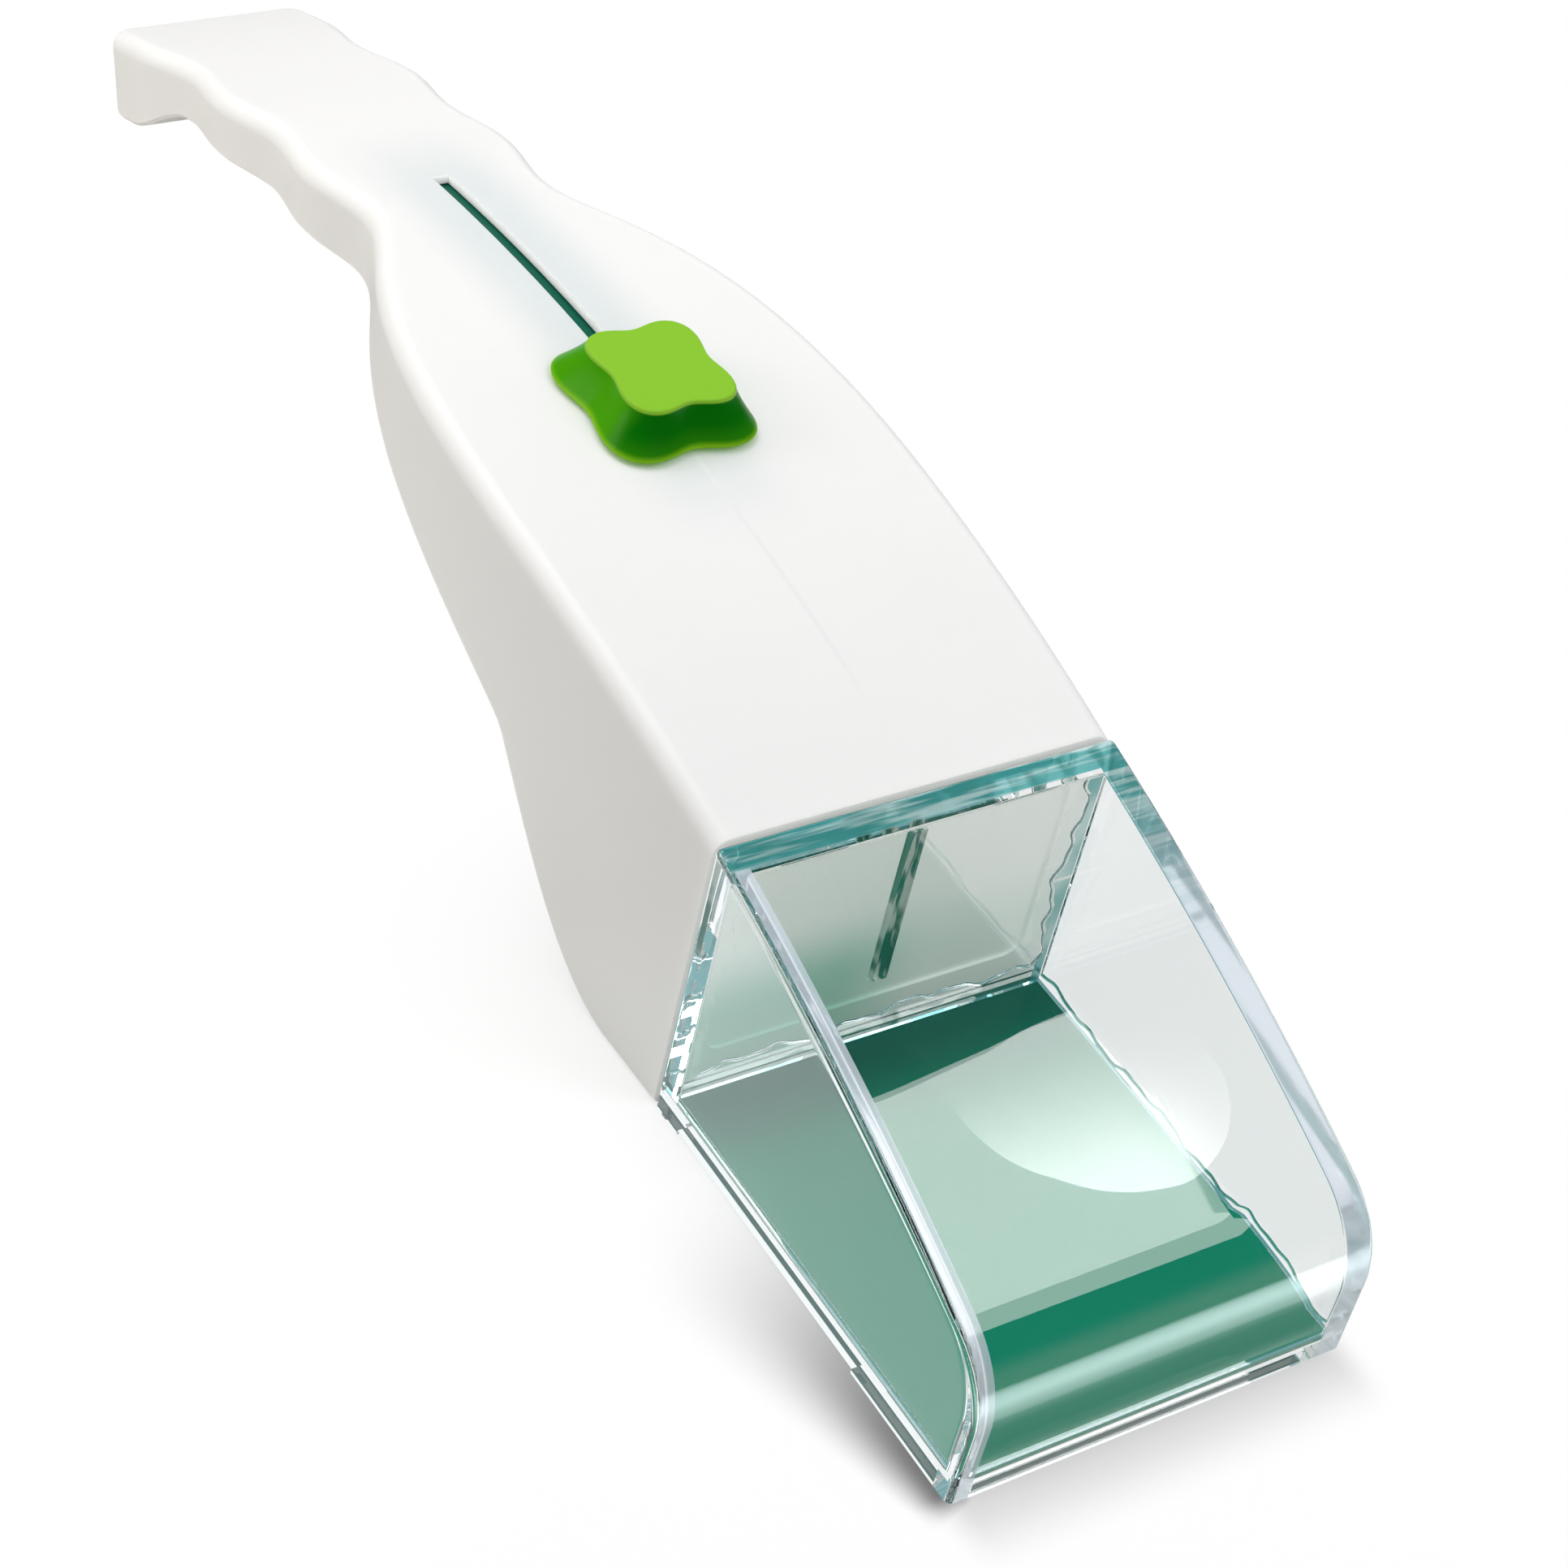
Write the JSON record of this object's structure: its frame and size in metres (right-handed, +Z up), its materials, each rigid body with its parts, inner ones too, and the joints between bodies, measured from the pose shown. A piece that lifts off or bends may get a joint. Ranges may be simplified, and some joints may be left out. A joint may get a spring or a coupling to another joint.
{
  "type": "spider catcher",
  "caption": "Hand-held catcher for spiders: a clear box, open underneath, on a hollow white grip, with a thumb slider that draws a green film across the mouth of the box.",
  "frame": {"origin": "centre of the bounding box's bottom face, on the plane of the box's rim", "axes": "+Y from the front of the box towards the end of the grip, +Z up, +X across"},
  "size_m": [0.066, 0.2922, 0.0652],
  "materials": {
    "clear_plastic": "polished, clear",
    "white_plastic": "satin",
    "inner_plastic": "satin",
    "green_film": "glossy",
    "green_plastic": "satin, slightly translucent",
    "screw_steel": "plated"
  },
  "bodies": {
    "catcher": {"clear_hood": "clear_plastic", "body_shell": "white_plastic", "back_plate": "white_plastic", "bottom_cover": "white_plastic", "cover_screw_left": "screw_steel", "cover_screw_right": "screw_steel", "cover_screw_rear": "screw_steel", "film_guide_left": "inner_plastic", "film_guide_right": "inner_plastic", "film_web": "green_film"},
    "slider": {"slider_button": "green_plastic", "slider_foot": "green_plastic", "film_tongue": "green_film"},
    "door": {"film_leaf": "green_film"}
  },
  "joints": [
    {"name": "slider_travel", "type": "hinge", "parent": "catcher", "child": "slider", "pos_m": [0, 0.01746, -0.3274], "axis": [-1, 0, 0], "range_deg": [0, 8.87], "deforming": ["film_web"]},
    {"name": "door_slide", "type": "slide", "parent": "catcher", "child": "door", "axis": [0, 1, 0], "range_m": [0, 0.0594]}
  ],
  "couplings": [
    {"joint": "door_slide", "follows": "slider_travel", "m_per_rad": 0.3838}
  ]
}
